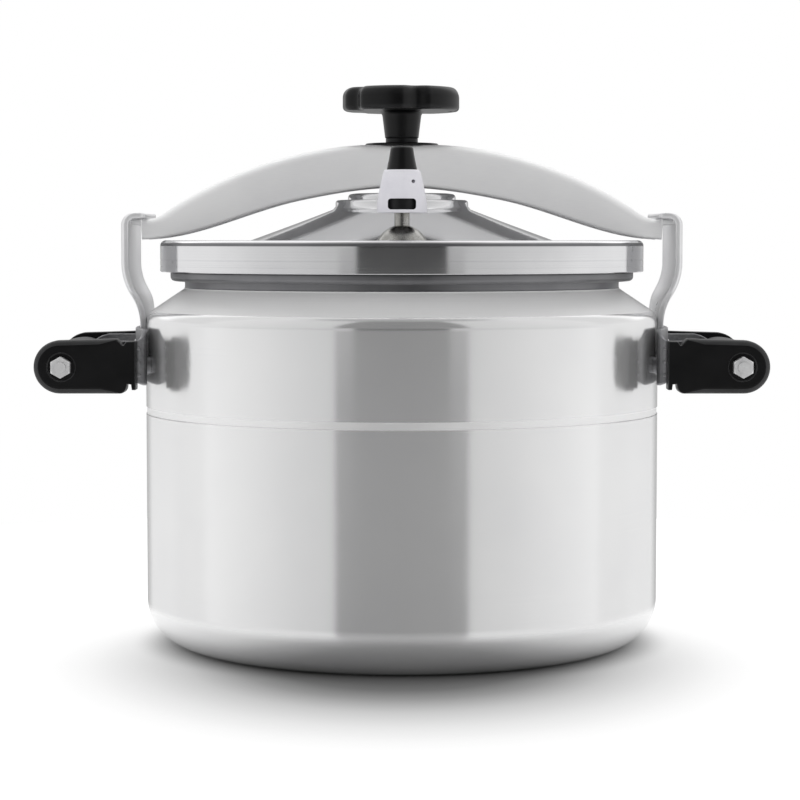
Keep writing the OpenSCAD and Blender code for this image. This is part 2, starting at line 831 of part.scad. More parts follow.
pot_body();
hook_left();
hook_right();
bracket_left();
bracket_right();
rivets_left();
rivets_right();
spacers_left();
spacers_right();
grip_left();
grip_right();
cheek_left_front();
cheek_left_rear();
cheek_right_front();
cheek_right_rear();
tie_bolt_left();
tie_bolt_right();
nuts_left();
nuts_right();
lid_shell();
thrust_plate();
gasket();
regulator_nozzle();
nozzle_nut();
safety_valve_body();
safety_valve_nut();
safety_spring();
safety_plunger();
regulator_pin();
regulator_weight();
regulator_cap();
arch();
arch_bush();
pressure_foot();
spindle();
spindle_clip();
knob();
knob_cap();
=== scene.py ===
import math

import bmesh
import bpy
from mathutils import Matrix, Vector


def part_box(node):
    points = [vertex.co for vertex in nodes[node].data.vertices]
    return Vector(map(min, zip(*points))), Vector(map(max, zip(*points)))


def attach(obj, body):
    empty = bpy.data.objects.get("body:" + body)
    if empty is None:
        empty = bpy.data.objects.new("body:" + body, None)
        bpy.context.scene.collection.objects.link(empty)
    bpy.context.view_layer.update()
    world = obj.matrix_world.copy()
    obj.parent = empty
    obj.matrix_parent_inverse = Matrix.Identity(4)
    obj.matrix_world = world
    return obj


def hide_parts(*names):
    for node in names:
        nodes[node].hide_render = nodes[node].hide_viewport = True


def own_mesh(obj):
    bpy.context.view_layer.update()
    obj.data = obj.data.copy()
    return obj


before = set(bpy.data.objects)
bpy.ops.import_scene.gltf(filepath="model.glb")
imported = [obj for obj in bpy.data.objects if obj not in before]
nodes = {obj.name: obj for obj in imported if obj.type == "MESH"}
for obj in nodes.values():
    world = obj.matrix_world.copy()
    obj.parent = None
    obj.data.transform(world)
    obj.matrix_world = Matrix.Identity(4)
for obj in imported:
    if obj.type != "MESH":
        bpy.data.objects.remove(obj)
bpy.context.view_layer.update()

# Looks of a screw-arch pressure canner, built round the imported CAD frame.
# Piece sizes are in mm, Blender's own units are metres.
mm = 0.001
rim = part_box("pot_body")[1].z / mm      # top of the pot's rim: most heights are counted from it
crease = 38                             # edges sharper than this, in degrees, stay sharp
print("frame loaded,", len(nodes), "CAD nodes")


# sRGB hex to linear RGBA
def hexColour(code):
    out = []
    for i in (0, 2, 4):
        c = int(code[i:i + 2], 16) / 255
        out.append(c / 12.92 if c <= 0.04045 else ((c + 0.055) / 1.055) ** 2.4)
    return (*out, 1.0)


# points on an arc about (cx, cz), angles in degrees
def arc(cx, cz, r, start, end, steps=12):
    angles = [math.radians(start + (end - start) * i / steps) for i in range(steps + 1)]
    return [(cx + r * math.cos(a), cz + r * math.sin(a)) for a in angles]


# points on a cubic curve through p and s, pulled towards q and r
def curve(p, q, r, s, steps=16):
    out = []
    for i in range(steps + 1):
        t = i / steps
        w = ((1 - t) ** 3, 3 * (1 - t) ** 2 * t, 3 * (1 - t) * t * t, t ** 3)
        out.append(tuple(sum(k * v for k, v in zip(w, axis)) for axis in zip(p, q, r, s)))
    return out


def smoothStep(low, high, x):
    t = min(1.0, max(0.0, (x - low) / (high - low)))
    return t * t * (3 - 2 * t)


# height of a line of points (x, z) at x, with x rising along the line
def heightAt(line, x):
    for (x0, z0), (x1, z1) in zip(line, line[1:]):
        if x <= x1:
            return z0 + (z1 - z0) * (x - x0) / max(x1 - x0, 1e-9)
    return line[-1][1]


# extra points close to both ends of each long span keep the shading flat between them
def supported(profile, gap=0.8):
    out = [profile[0]]
    for a, b in zip(profile, profile[1:]):
        length = math.dist(a, b)
        if length > 4 * gap:
            for t in (gap / length, 1 - gap / length):
                out.append((a[0] + (b[0] - a[0]) * t, a[1] + (b[1] - a[1]) * t))
        out.append(b)
    return out


# faces between neighbouring rings of points; a ring of one point is a pole
def skin(rings, loop=False, caps=False):
    verts, starts, faces = [], [], []
    for ring in rings:
        starts.append(len(verts))
        verts += ring
    order = list(range(len(rings))) + ([0] if loop else [])
    for a, b in zip(order, order[1:]):
        na, nb = len(rings[a]), len(rings[b])
        n = max(na, nb)
        for i in range(n):
            j = (i + 1) % n
            corners = [starts[a] + i % na, starts[a] + j % na, starts[b] + j % nb, starts[b] + i % nb]
            corners = list(dict.fromkeys(corners))
            if len(corners) > 2:
                faces.append(corners)
    if caps:
        faces.append([starts[0] + i for i in range(len(rings[0]))])
        faces.append([starts[-1] + i for i in range(len(rings[-1]))])
    return verts, faces


# unit circle as (cosine, sine) pairs
def circle(count, start=0):
    angles = [2 * math.pi * (i + start) / count for i in range(count)]
    return [(math.cos(a), math.sin(a)) for a in angles]


# a profile of (r, z) points turned about an upright axis
def turned(profile, count, centre=(0, 0), loop=False):
    rings = []
    for r, z in profile:
        around = circle(count, 0.5) if r > 1e-6 else [(0, 0)]
        rings.append([(centre[0] + r * c, centre[1] + r * s, z) for c, s in around])
    return skin(rings, loop=loop)


# a mesh from a shape in mm, with its normals outwards
def makeMesh(name, shape, flip=(1, 1)):
    mesh = bpy.data.meshes.new(name)
    mesh.from_pydata([(x * flip[0] * mm, y * flip[1] * mm, z * mm) for x, y, z in shape[0]], [], shape[1])
    work = bmesh.new()
    work.from_mesh(mesh)
    bmesh.ops.recalc_face_normals(work, faces=work.faces)
    work.to_mesh(mesh)
    work.free()
    return mesh


# smooth shading, with edges left sharp past an angle in degrees
def smoothShade(mesh, sharp):
    mesh.shade_smooth()
    mesh.set_sharp_from_angle(angle=math.radians(sharp))


def addObject(name, data):
    made = bpy.data.objects.new(name, data)
    bpy.context.scene.collection.objects.link(made)
    return made


# a mesh piece in mm that rides on a CAD body and stands for its CAD nodes
def makePiece(name, shape, material, body, stands=(), sharp=crease, flip=(1, 1)):
    mesh = makeMesh(name, shape, flip)
    mesh.materials.append(material)
    smoothShade(mesh, sharp)
    piece = addObject(name, mesh)
    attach(piece, body)
    if stands:
        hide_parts(*stands)
    return piece


# cuts the space of a second shape out of a piece
def cutOut(piece, shape):
    cutter = addObject("cutter", makeMesh("cutter", shape))
    cut = piece.modifiers.new("cut", "BOOLEAN")
    cut.operation = "DIFFERENCE"
    cut.solver = "EXACT"
    cut.object = cutter
    bpy.context.view_layer.update()
    graph = bpy.context.evaluated_depsgraph_get()
    made = bpy.data.meshes.new_from_object(piece.evaluated_get(graph))
    made.materials.clear()
    made.materials.append(piece.data.materials[0])
    piece.modifiers.clear()
    piece.data = made
    smoothShade(made, crease)
    bpy.data.objects.remove(cutter)


# adds a node with its settings; an input given as a socket is linked
def addNode(tree, kind, settings=None, inputs=None):
    node = tree.nodes.new(kind)
    for key, value in (settings or {}).items():
        if key == "stops":
            ramp = node.color_ramp
            while len(ramp.elements) < len(value):
                ramp.elements.new(0.5)
            for element, (place, shade) in zip(ramp.elements, value):
                element.position = place
                element.color = shade if isinstance(shade, tuple) else (shade, shade, shade, 1)
        else:
            setattr(node, key, value)
    for key, value in (inputs or {}).items():
        if isinstance(value, bpy.types.NodeSocket):
            tree.links.new(value, node.inputs[key])
        else:
            node.inputs[key].default_value = value
    return node


# one finish: base colours, roughness range, sizes in mm of its patches and its grain,
# and the strength and depth in mm of its bump
def makeFinish(name, light, dark, metallic, rough, patch, grain, bump, stretch=(1, 1, 1),
               specular=0.5, lines=None, anisotropic=0.0, edgeHighlight=None):
    material = bpy.data.materials.new(name)
    material.use_nodes = True
    tree = material.node_tree
    tree.nodes.clear()
    place = addNode(tree, "ShaderNodeTexCoord").outputs["Object"]
    broad = addNode(tree, "ShaderNodeTexNoise", {}, {
        "Vector": place, "Scale": 1 / (patch * mm), "Detail": 3.0, "Roughness": 0.55}).outputs["Fac"]
    if lines:
        # turned lines: noise that depends only on the height and the distance from the axis
        split = addNode(tree, "ShaderNodeSeparateXYZ", {}, {"Vector": place})
        flat = addNode(tree, "ShaderNodeCombineXYZ", {}, {
            "X": split.outputs["X"], "Y": split.outputs["Y"]}).outputs["Vector"]
        radius = addNode(tree, "ShaderNodeVectorMath", {"operation": "LENGTH"}, {0: flat}).outputs["Value"]
        along = addNode(tree, "ShaderNodeMath", {"operation": "MULTIPLY_ADD"}, {
            0: radius, 1: 1.7, 2: split.outputs["Z"]}).outputs[0]
        fine = addNode(tree, "ShaderNodeTexNoise", {"noise_dimensions": "1D"}, {
            "W": along, "Scale": 1 / (lines * mm), "Detail": 5.0, "Roughness": 0.65}).outputs["Fac"]
    else:
        drawn = addNode(tree, "ShaderNodeMapping", {}, {"Vector": place, "Scale": stretch}).outputs["Vector"]
        fine = addNode(tree, "ShaderNodeTexNoise", {}, {
            "Vector": drawn, "Scale": 1 / (grain * mm), "Detail": 4.0, "Roughness": 0.6}).outputs["Fac"]
    both = addNode(tree, "ShaderNodeMix", {"data_type": "FLOAT"}, {0: 0.4, 2: broad, 3: fine}).outputs[0]
    colour = addNode(tree, "ShaderNodeValToRGB", {
        "stops": [(0.32, hexColour(dark)), (0.62, hexColour(light))]}, {"Fac": both}).outputs["Color"]
    if edgeHighlight:
        # convex edges are painted paler here: a painted highlight
        edges = addNode(tree, "ShaderNodeNewGeometry").outputs["Pointiness"]
        share = addNode(tree, "ShaderNodeMapRange", {"interpolation_type": "SMOOTHSTEP"}, {
            "Value": edges, "From Min": 0.505, "From Max": 0.60, "To Max": 0.9}).outputs[0]
        highlightMask = addNode(tree, "ShaderNodeMath", {"operation": "MULTIPLY"}, {0: share, 1: broad}).outputs[0]
        colour = addNode(tree, "ShaderNodeMix", {"data_type": "RGBA"}, {
            0: highlightMask, 6: colour, 7: hexColour(edgeHighlight)}).outputs[2]
    rub = addNode(tree, "ShaderNodeMapRange", {}, {
        "Value": both, "From Min": 0.3, "From Max": 0.7, "To Min": rough[0], "To Max": rough[1]}).outputs[0]
    relief = addNode(tree, "ShaderNodeBump", {}, {
        "Height": fine, "Strength": bump[0], "Distance": bump[1] * mm}).outputs["Normal"]
    shader = addNode(tree, "ShaderNodeBsdfPrincipled", {}, {
        "Base Color": colour, "Roughness": rub, "Normal": relief, "Metallic": metallic,
        "Specular IOR Level": specular, "Anisotropic": anisotropic})
    if anisotropic:
        tangent = addNode(tree, "ShaderNodeTangent", {"direction_type": "RADIAL", "axis": "Z"})
        tree.links.new(tangent.outputs["Tangent"], shader.inputs["Tangent"])
        shader.inputs["Anisotropic Rotation"].default_value = 0.25
    addNode(tree, "ShaderNodeOutputMaterial", {}, {"Surface": shader.outputs["BSDF"]})
    return material


# Lathe-turned aluminium: pale, with a haze over a clear reflection that fine turned lines draw out upwards
turnedAluminium = makeFinish("turnedAluminium", "f6f6f6", "f0f0f1", 0.8, (0.13, 0.17), 60, 0.5,
                             (0.04, 0.01), lines=0.8, anisotropic=0.6)
# The shoulder was left satin from the spinning roller: the same metal, scattering more
rolledAluminium = makeFinish("rolledAluminium", "fdfdfd", "f8f8f8", 0.12, (0.40, 0.48), 60, 0.5,
                             (0.04, 0.01), lines=0.8, anisotropic=0.5)
# The same metal where a broad cutter left a rougher ring, which scatters light and reads as a pale line
ringAluminium = makeFinish("ringAluminium", "ffffff", "fafafa", 0.86, (0.45, 0.55), 60, 0.5,
                           (0.08, 0.01), lines=0.4)
# Buffed aluminium of the lid: close to a mirror, with faint buffing lines
buffedAluminium = makeFinish("buffedAluminium", "f4f4f5", "ececee", 0.97, (0.07, 0.12), 40, 0.4,
                             (0.04, 0.01), lines=0.7)
# Satin stainless of the arch: pressed sheet, blasted and lightly polished: an even pale grey, little mirror
satinStainless = makeFinish("satinStainless", "fafafa", "f2f2f3", 0.3, (0.42, 0.50), 50, 0.4,
                            (0.10, 0.01), stretch=(0.06, 1, 1))
# Bright stainless of the hooks: bent strip, polished before bending, so soft reflections run along it
brightStainless = makeFinish("brightStainless", "f2f2f3", "ececee", 0.5, (0.27, 0.29), 30, 8.0,
                             (0.0, 0.01))
# Pressed and tumbled steel of the brackets: dull mid grey with a fine peened skin
tumbledSteel = makeFinish("tumbledSteel", "a4a4a6", "828285", 0.85, (0.34, 0.42), 12, 1.6, (0.06, 0.01))
# Turned steel of the bush and the spindle's collar, coloured dark, with a low sheen
darkSteel = makeFinish("darkSteel", "303031", "222223", 0.7, (0.30, 0.42), 20, 0.4,
                            (0.10, 0.01), lines=0.5)
# Bright nickel plating on the valves and the spindle: sharp reflections, a little orange peel
nickelPlate = makeFinish("nickelPlate", "dedddb", "c8c7c5", 0.95, (0.12, 0.20), 8, 0.5, (0.08, 0.01))
# Nickel on the valve seats, dulled by steam
dullNickel = makeFinish("dullNickel", "bcbbb8", "96958f", 0.95, (0.20, 0.32), 5, 0.5, (0.08, 0.01))
# Zinc-plated nuts and bolts: pale, slightly milky
zincPlate = makeFinish("zincPlate", "f0f0f0", "dcdcdd", 0.55, (0.30, 0.40), 6, 0.4, (0.10, 0.01))
# Drawn spring wire: darker, with drawing lines
drawnWire = makeFinish("drawnWire", "8e8e90", "6c6c6f", 1.0, (0.30, 0.42), 6, 0.3, (0.15, 0.01))
# Cold-headed aluminium rivets: soft dull heads
headedAluminium = makeFinish("headedAluminium", "dadadb", "c2c2c4", 0.8, (0.28, 0.40), 8, 0.5, (0.20, 0.02))
# Compression-moulded phenolic: deep black, semi-gloss, with a faint flow mottle and mould grain
mouldedPhenolic = makeFinish("mouldedPhenolic", "121213", "0b0b0c", 0.0, (0.26, 0.36), 16, 0.35,
                             (0.08, 0.01), specular=0.28)
# Rounded border of the cheeks: a little paler and duller, a painted sheen for the light that the rounded edge
# catches
sheenBorder = makeFinish("sheenBorder", "323233", "262627", 0.0, (0.42, 0.52), 10, 0.35,
                          (0.08, 0.01), specular=0.4)
# Phenolic of the knob, painted paler along its convex edges: a painted highlight
edgeLitPhenolic = makeFinish("edgeLitPhenolic", "121213", "0b0b0c", 0.0, (0.26, 0.36), 16, 0.35,
                            (0.08, 0.01), specular=0.28, edgeHighlight="6a6a6b")
# Painted shade: the metal made duller and darker than the turned wall, for the neck and rim under the lid's
# skirt and for the line under the lid's rolled bead
paintedShadeAluminium = makeFinish("paintedShadeAluminium", "8c8c8e", "7c7c7f", 1.0, (0.34, 0.46), 20, 0.5,
                           (0.10, 0.01), lines=0.6)
# Satin-lacquered cast weight: pale grey with a cool tint and a fine cast skin
lacqueredCasting = makeFinish("lacqueredCasting", "e8e7ed", "dedde4", 0.0, (0.35, 0.45), 9, 0.4,
                              (0.12, 0.02))
# Moulded rubber ring: matt dark grey, dusted with talc
mouldedRubber = makeFinish("mouldedRubber", "3a3a3b", "2b2b2c", 0.0, (0.62, 0.78), 14, 0.5, (0.30, 0.03))
# Moulded red nylon of the plunger
mouldedNylon = makeFinish("mouldedNylon", "a3281f", "8a1d16", 0.0, (0.35, 0.45), 6, 0.4, (0.15, 0.02))
print("finishes made,", len(bpy.data.materials))

cadFinish = {
    "tie_bolt_left": zincPlate, "tie_bolt_right": zincPlate, "nuts_left": zincPlate,
    "nuts_right": zincPlate, "rivets_left": headedAluminium, "rivets_right": headedAluminium,
    "spacers_left": tumbledSteel, "spacers_right": tumbledSteel, "grip_left": mouldedPhenolic,
    "grip_right": mouldedPhenolic, "thrust_plate": buffedAluminium, "gasket": mouldedRubber,
    "regulator_nozzle": dullNickel, "nozzle_nut": nickelPlate, "safety_valve_body": nickelPlate,
    "safety_valve_nut": nickelPlate, "safety_plunger": mouldedNylon, "regulator_pin": nickelPlate,
    "regulator_weight": lacqueredCasting, "regulator_cap": mouldedPhenolic, "arch_bush": darkSteel,
    "pressure_foot": nickelPlate, "spindle_clip": drawnWire, "knob_cap": mouldedPhenolic,
}
for name, finish in cadFinish.items():
    nodes[name].data.materials.clear()
    nodes[name].data.materials.append(finish)


# Pot: wall with a turned ring, a cone up to the neck, and a rolled rim
pot = {
    "radius": 140, "wall": 3, "base": 5, "corner": 25, "ringHeight": 128, "ringWidth": 4,
    "ringDepth": 0.4, "shoulder": 10, "bend": 8, "slopeTop": 10.6, "satinFrom": 22.6, "neckRadius": 118.5,
    "neckFillet": 12, "rimRadius": 126.5, "rimHeight": 6.5, "rimRound": 2.4, "count": 360,
}


def potProfile():
    p = pot
    r, corner, wall = p["radius"], p["corner"], p["wall"]
    shoulderZ, neckZ = rim - 28, rim - 4.5
    low, high = p["ringHeight"] - p["ringWidth"] / 2, p["ringHeight"] + p["ringWidth"] / 2
    neckX = p["neckRadius"] + p["neckFillet"]
    roundX = p["rimRadius"] - p["rimRound"]
    outer = [(0, 0), (r - corner, 0)] + arc(r - corner, corner, corner, -80, 0, 20)
    outer += [(r, low), (r - p["ringDepth"], low + p["ringDepth"])]
    outer += [(r - p["ringDepth"], high - p["ringDepth"]), (r, high)]
    outer += arc(r - p["bend"], shoulderZ - 1, p["bend"], 0, 52, 14)
    cornerX, cornerZ = p["neckRadius"] + 2.2, rim - p["slopeTop"] + 1.2
    outer += arc(cornerX, cornerZ, 2, 233, 180, 6)
    outer += [(p["neckRadius"] + 0.2, rim - p["rimHeight"])]
    outer += arc(roundX, rim - p["rimHeight"] + p["rimRound"], p["rimRound"], -90, 0, 8)
    outer += arc(roundX, rim - p["rimRound"], p["rimRound"], 0, 90, 8)
    inner = [(p["neckRadius"] - wall, rim), (p["neckRadius"] - wall, neckZ)]
    inner += arc(neckX, neckZ, p["neckFillet"] + wall, 190, 248, 12)
    inner += arc(r - p["shoulder"], shoulderZ, p["shoulder"] - wall, 68, 0, 12)
    inner += arc(r - corner, corner, corner - wall, 0, -60, 16)
    inner += [(r - corner + 2, p["base"]), (0, p["base"])]
    return supported(outer + inner)


potTurned = makePiece("potTurned", turned(potProfile(), pot["count"]), turnedAluminium, "pot",
                      ["pot_body"])
for finish in (ringAluminium, paintedShadeAluminium, rolledAluminium):
    potTurned.data.materials.append(finish)
ringLow = (pot["ringHeight"] - pot["ringWidth"] / 2 - 0.05) * mm
ringHigh = (pot["ringHeight"] + pot["ringWidth"] / 2 + 0.05) * mm
for face in potTurned.data.polygons:
    heights = [potTurned.data.vertices[i].co.z for i in face.vertices]
    outside = face.center.xy.length > (pot["radius"] - 1) * mm
    if outside and min(heights) > ringLow and max(heights) < ringHigh:
        face.material_index = 1
    # the neck and rim under the lid's skirt take the darker copy, a painted shade; the shoulder below takes
    # the satin copy
    if face.center.z > (rim - pot["satinFrom"]) * mm and face.center.xy.length > (pot["neckRadius"] - 2) * mm:
        face.material_index = 2 if face.center.z > (rim - pot["slopeTop"] + 0.3) * mm else 3
print("pot turned")


# Lid: boss, cone, valley and a grooved skirt
lid = {
    "radius": 132, "edge": 3, "skirtThick": 2.4, "bossRadius": 36.3, "sheet": 3,
    "grooveDeep": 0.15, "grooveWide": 0.5, "shadeLineLow": 12.2, "shadeLineHigh": 14.2, "count": 360,
}


def lidProfile():
    r, low, seat, top = lid["radius"], rim - 1.5, rim + 4.5, rim + 15.5
    valley, boss, b = rim + 7.5, rim + 37.4, lid["bossRadius"]
    upper = [(0, boss)] + arc(b - 1.6, boss - 1.6, 1.6, 90, 0, 8) + [(b, boss - 3.4)]
    upper += curve((b + 1.2, boss - 5), (b + 20, boss - 12.5), (r - 48, valley + 7.6),
                   (r - 33, valley + 2), 24)
    upper += curve((r - 31, valley + 1.35), (r - 28, valley + 0.4), (r - 26, valley), (r - 23, valley), 8)
    outer = [(r - 18, valley)] + arc(r - 18, valley + 3, 3, -90, -15, 8)
    outer += arc(r - 10.4, top - 2.4, 2.4, 165, 90, 8)
    outer += arc(r - lid["edge"], top - lid["edge"], lid["edge"], 90, 0, 14)
    for z in (low + 6.2, low + 2.8):
        deep = r - lid["grooveDeep"]
        outer += [(r, z + lid["grooveWide"]), (deep, z + 0.35), (deep, z + 0.15), (r, z)]
    outer += [(r, low + 0.4), (r - 0.4, low), (r - lid["skirtThick"], low), (r - lid["skirtThick"], seat)]
    outer += [(r - 20, seat)]
    under = [(x, z - lid["sheet"]) for x, z in reversed(upper) if x < r - 22]
    return supported(upper + outer + under)


lidSpun = makePiece("lidSpun", turned(lidProfile(), lid["count"]), buffedAluminium, "lid",
                    ["lid_shell"])
# a painted shade line under the rim's rolled bead, in the darker copy of the metal
lidSpun.data.materials.append(paintedShadeAluminium)
for face in lidSpun.data.polygons:
    inShadeLine = (rim + lid["shadeLineLow"]) * mm < face.center.z < (rim + lid["shadeLineHigh"]) * mm
    if inShadeLine and face.center.xy.length > (lid["radius"] - 1.2) * mm:
        face.material_index = 1
print("lid spun")


# Arch: pressed channel with a flat tongue at each end
arch = {
    "width": 40, "sheet": 3, "crownRound": 5.5, "lipRound": 2.0, "end": 141, "tongueEnd": 146.5,
    "hollowEnd": 134, "bore": 11.05, "stations": 160,
}


def archShape():
    top, tongue = rim + 67, rim + 26.8
    upper = [(0, top), (22, top)]
    upper += curve((24, top - 0.15), (62, top - 2.6), (96, top - 16.5), (120, top - 31), 24)
    upper += curve((122, top - 32.2), (128, top - 36), (132, tongue), (138, tongue), 10)
    upper += [(arch["tongueEnd"] + 1, tongue)]
    end = arch["end"]
    lower = curve((0, rim + 44.9), (20, rim + 44.4), (38, rim + 41.4), (54, rim + 38), 12)
    lower += curve((56, rim + 37.6), (84, rim + 31.6), (108, rim + 18.6), (end - 6, rim + 16.3), 24)
    lower += [(end + 1, rim + 15.8)]
    half, sheet = arch["width"] / 2, arch["sheet"]

    # U section at x, as one closed ring
    def section(x, low, high, ceiling):
        crown = min(arch["crownRound"], (high - low) * 0.45)
        inside = min(max(crown - sheet, 0.3), (ceiling - low) * 0.45)
        lip = min(arch["lipRound"], (high - low) * 0.3)
        side = arc(-half + lip, low + lip, lip, 270, 180, 5)
        side += arc(-half + crown, high - crown, crown, 180, 90, 8)
        hollow = half - sheet
        line = side + [(-y, z) for y, z in reversed(side)] + [(hollow, low)]
        line += arc(hollow - inside, ceiling - inside, inside, 0, 90, 6)
        line += arc(-hollow + inside, ceiling - inside, inside, 90, 180, 6) + [(-hollow, low)]
        return [(x, y, z) for y, z in line]

    rings = []
    marks = [arch["hollowEnd"] * (2 * i / arch["stations"] - 1) for i in range(arch["stations"] + 1)]
    for x in marks:
        low, high = heightAt(lower, abs(x)), heightAt(upper, abs(x))
        rings.append(section(x, low, high, high - sheet))
    for side in (1, -1):
        far = []
        for x in (arch["hollowEnd"] + 0.2, 138, end - 0.4):
            low, high = heightAt(lower, x), heightAt(upper, x)
            far.append(section(side * x, low, high, low + 0.3))
        for x in (end, 143, arch["tongueEnd"] - 0.6, arch["tongueEnd"]):
            trim = 0.4 if x == arch["tongueEnd"] else 0
            low = tongue - sheet + trim
            far.append(section(side * x, low, tongue - trim, low + 0.3))
        rings = rings + far if side > 0 else far[::-1] + rings
    return skin(rings, caps=True)


archPressed = makePiece("archPressed", archShape(), satinStainless, "arch", ["arch"])
archBore = [(0, rim + 50), (arch["bore"], rim + 50), (arch["bore"], rim + 70), (0, rim + 70)]
cutOut(archPressed, turned(archBore, 64))
print("arch pressed")


# Hooks: strips bent outwards, then curled in at the top; heights count from the rim
hook = {"sheet": 3, "edge": 0.8, "low": -58, "bend": -30.5, "lean": 34, "out": 10, "top": 30.2,
        "curl": 5, "waist": 21, "wide": 33, "across": 18}


def hookShape():
    t = hook["sheet"]
    low, bend, top = rim + hook["low"], rim + hook["bend"], rim + hook["top"]
    turn = 2 * math.degrees(math.atan(hook["out"] / hook["lean"]))
    sweep = hook["lean"] / (2 * math.sin(math.radians(turn)))
    inner = pot["radius"] + 0.03
    mid = inner + t / 2
    path = [(mid, low + z) for z in (0, 0.3, 1, 2, 3.5, 5, 7, 10, 15, 20)]
    path += arc(mid + sweep, bend, sweep, 180, 180 - turn, 14)
    path += arc(mid + hook["out"] - sweep, bend + hook["lean"], sweep, -turn, 0, 14)[1:]
    curlX, curlZ = inner + hook["out"] - hook["curl"] + t / 2, top - hook["curl"] - t / 2
    path += [(mid + hook["out"], z) for z in (bend + 40, curlZ - 6)]
    path += arc(curlX, curlZ, hook["curl"], 0, 90, 12)
    lipEnd = pot["radius"] - 0.4 + t / 2
    path += [(x, top - t / 2) for x in (curlX - 1.5, lipEnd + 2.4, lipEnd + 1.2, lipEnd + 0.5, lipEnd)]
    total = len(path)

    # half of the strip's width at a point of its path
    def halfWidth(i):
        x, z = path[i]
        if z < low + 10:
            return hook["waist"] - 10 + math.sqrt(max(0.0, 100 - (low + 10 - z) ** 2))
        if x < lipEnd + 3 and z > top - 5:
            near = min(1.0, (lipEnd + 3 - x) / 3)
            return hook["wide"] - 3 + 3 * math.sqrt(max(0.0, 1 - near * near))
        spread = smoothStep(bend - 4, bend + 20, z)
        return hook["waist"] + (hook["wide"] - hook["waist"]) * spread

    rings = []
    for i in range(total):
        before, after = path[max(i - 1, 0)], path[min(i + 1, total - 1)]
        length = math.dist(before, after)
        along = ((after[0] - before[0]) / length, (after[1] - before[1]) / length)
        normal = (along[1], -along[0])
        thick = t / 2
        x, z = path[i]
        if x < lipEnd + 1.3 and z > top - 5:
            past = (lipEnd + 1.3 - x) / 1.3
            thick *= max(0.25, math.sqrt(max(0.0, 1 - (0.97 * past) ** 2)))
        w, e = halfWidth(i), min(hook["edge"], thick * 0.8)
        row = [(-w + e + (2 * w - 2 * e) * k / hook["across"], thick) for k in range(hook["across"] + 1)]
        row += [(w - e + e * math.sin(a), thick - e + e * math.cos(a)) for a in (0.5, 1.1)]
        row += [(w, thick - e), (w, -thick + e)]
        row += [(w - e + e * math.cos(a), -thick + e - e * math.sin(a)) for a in (0.5, 1.1)]
        row += [(-v, -o) for v, o in row]
        ring = []
        for v, o in row:
            r = x + normal[0] * o
            ring.append((math.sqrt(r * r - v * v), v, z + normal[1] * o))
        rings.append(ring)
    return skin(rings, caps=True)


for side, name in ((-1, "left"), (1, "right")):
    makePiece("hookBent_" + name, hookShape(), brightStainless, "pot",
              ["hook_" + name], flip=(side, 1))
print("hooks bent")


# Brackets: a saddle on the wall with two arms; heights count from the rim
bracket = {"sheet": 2.5, "low": -61.5, "high": -31.5, "armLow": -60, "armHigh": -37.5, "across": 52.5,
           "boltX": 179, "boltZ": -51, "tip": 9, "bend": 4, "edge": 0.5, "ribRound": 1.3, "ribGap": 7}


def bracketShape():
    b = bracket
    t = b["sheet"]
    saddle = pot["radius"] + 0.06 + 3 + t / 2
    armY = b["across"] - t / 2
    turnAt = math.degrees(math.asin((armY - b["bend"]) / (saddle + b["bend"])))
    bendX = (saddle + b["bend"]) * math.cos(math.radians(turnAt))
    # plan of the strip's middle with each point's share of the saddle's height:
    # along one arm, round the bend, then half of the saddle
    arm = [b["boltX"] + d for d in (8.9, 8, 6, 3, 0, -4, -8, -12)] + [160, 152, 146, bendX + 1.5]
    plan = [(x, -armY, 0) for x in arm]
    corner = arc(bendX, -armY + b["bend"], b["bend"], 270, 180 - turnAt, 8)
    plan += [(x, y, smoothStep(0, 8, i)) for i, (x, y) in enumerate(corner)]
    plan += [(saddle * math.cos(math.radians(a)), saddle * math.sin(math.radians(a)), 1)
             for a in [-turnAt + turnAt * i / 12 for i in range(1, 13)]]
    plan += [(x, -y, share) for x, y, share in reversed(plan[:-1])]
    rings = []
    half, e = t / 2, b["edge"]
    for i, (x, y, share) in enumerate(plan):
        before, after = plan[max(i - 1, 0)][:2], plan[min(i + 1, len(plan) - 1)][:2]
        length = math.dist(before, after)
        normal = (-(after[1] - before[1]) / length, (after[0] - before[0]) / length)
        low = (rim + b["armLow"]) * (1 - share) + (rim + b["low"]) * share
        high = (rim + b["armHigh"]) * (1 - share) + (rim + b["high"]) * share
        # the arm narrows to a round tip about the bolt
        if x > b["boltX"] - 12:
            past = max(0, x - b["boltX"]) / b["tip"]
            reach = math.sqrt(max(0.05, 1 - past ** 2)) * b["tip"]
            rounding = smoothStep(0, 12, x - b["boltX"] + 12)
            low = low * (1 - rounding) + (rim + b["boltZ"] - reach) * rounding
            high = high * (1 - rounding) + (rim + b["boltZ"] + reach) * rounding
        row = [(half, low + e)] + [(half, low + (high - low) * k / 10) for k in range(1, 10)]
        row += [(half, high - e), (half - e, high), (-half + e, high), (-half, high - e)]
        row += [(-half, low + (high - low) * k / 10) for k in range(9, 0, -1)]
        row += [(-half, low + e), (-half + e, low), (half - e, low)]
        rings.append([(x + normal[0] * o, y + normal[1] * o, z) for o, z in row])
    return skin(rings, caps=True)


# short pressed ribs across each bend, as (x, share of the full radius) from end to end
ribLine = ((138.0, 0.15), (138.3, 0.6), (139, 0.9), (140, 1), (144, 1), (145, 0.9), (145.7, 0.6), (146, 0.15))


def ribsShape():
    b = bracket
    verts, faces = [], []
    for armSide in (-1, 1):
        for step in (-1, 0, 1):
            z = rim + (b["armLow"] + b["armHigh"]) / 2 + step * b["ribGap"]
            rings = [[(x, armSide * b["across"] + b["ribRound"] * grow * c, z + b["ribRound"] * grow * s)
                      for c, s in circle(16)] for x, grow in ribLine]
            more, sides = skin(rings, caps=True)
            faces += [[i + len(verts) for i in face] for face in sides]
            verts += more
    return verts, faces


